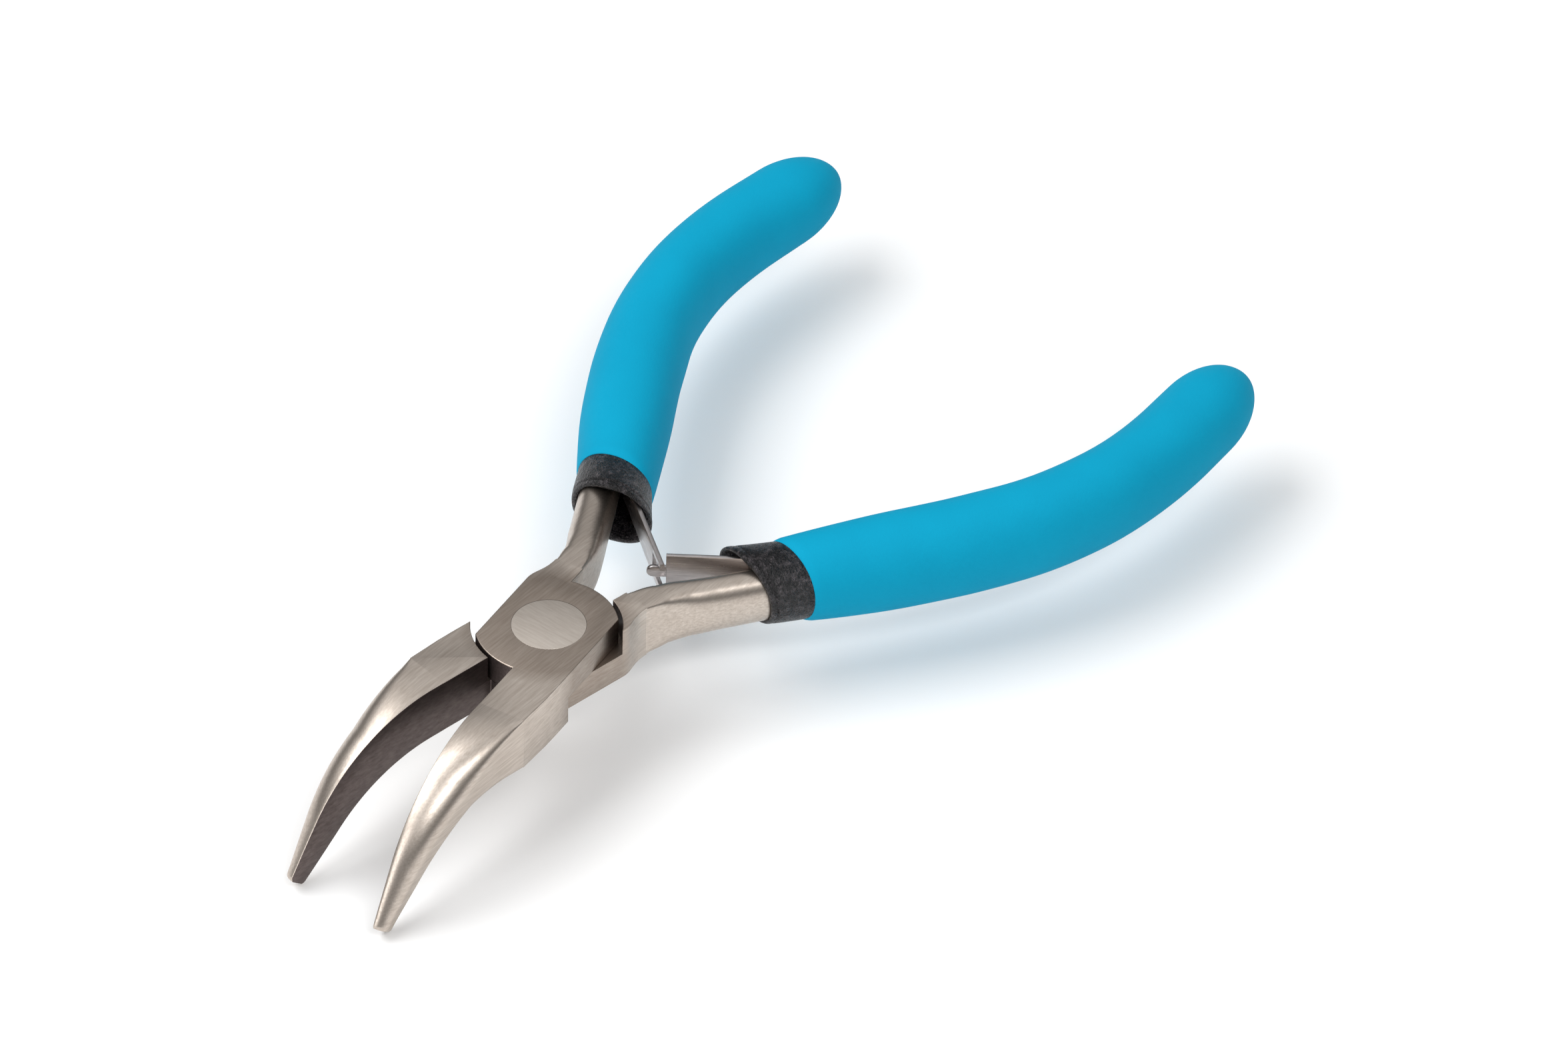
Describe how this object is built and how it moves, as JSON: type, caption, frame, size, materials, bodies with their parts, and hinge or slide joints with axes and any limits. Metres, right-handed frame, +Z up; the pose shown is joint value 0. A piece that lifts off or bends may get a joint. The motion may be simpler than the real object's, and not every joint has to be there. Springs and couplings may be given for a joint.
{
  "type": "bent-nose needle pliers",
  "caption": "Small lap-jointed pliers with slim downward-bent jaws, a hooked pair of leaf springs that hold them open, vinyl sleeves and soft foam grips.",
  "frame": {"origin": "centre of the pivot rivet, on the flat underside of the head", "axes": "+Z up along the pivot axis, through the thickness of the head; -X towards the jaws, which bend down towards -Z; +X towards the handles; +Y towards the upper half's handle"},
  "size_m": [0.1204, 0.0692, 0.0175],
  "materials": {
    "steel": "satin ground steel with darker unground gripping faces",
    "rivet_steel": "satin, ground flush with the head",
    "spring_steel": "bright rolled strip",
    "sleeve_vinyl": "black dipped vinyl with a fine leather grain",
    "grip_foam": "matte closed-cell foam, sky blue"
  },
  "bodies": {
    "upper": {"upper_half": "steel", "pivot_rivet": "rivet_steel", "upper_spring_tail": "spring_steel", "upper_spring_rivet": "spring_steel", "upper_sleeve": "sleeve_vinyl", "upper_grip": "grip_foam"},
    "lower": {"lower_half": "steel", "lower_spring_tail": "spring_steel", "lower_spring_rivet": "spring_steel", "lower_sleeve": "sleeve_vinyl", "lower_grip": "grip_foam"},
    "upper_spring": {"upper_spring_blade": "spring_steel"},
    "lower_spring": {"lower_spring_blade": "spring_steel"}
  },
  "joints": [
    {"name": "pivot", "type": "hinge", "parent": "upper", "child": "lower", "pos_m": [0, 0, 0], "axis": [0, 0, 1], "range_deg": [-3, 17.8], "stiffness_Nm_per_rad": 0.5},
    {"name": "upper_spring_bend", "type": "hinge", "parent": "upper", "child": "upper_spring", "pos_m": [0.02584, 0.01066, 0.0034], "axis": [0, 0, 1], "range_deg": [-15, 3]},
    {"name": "lower_spring_bend", "type": "hinge", "parent": "lower", "child": "lower_spring", "pos_m": [0.02308, -0.00903, 0.0034], "axis": [0, 0, 1], "range_deg": [-3, 16]}
  ],
  "couplings": [
    {"joint": "upper_spring_bend", "follows": "pivot", "ratio": -0.8},
    {"joint": "lower_spring_bend", "follows": "pivot", "ratio": 0.86}
  ]
}
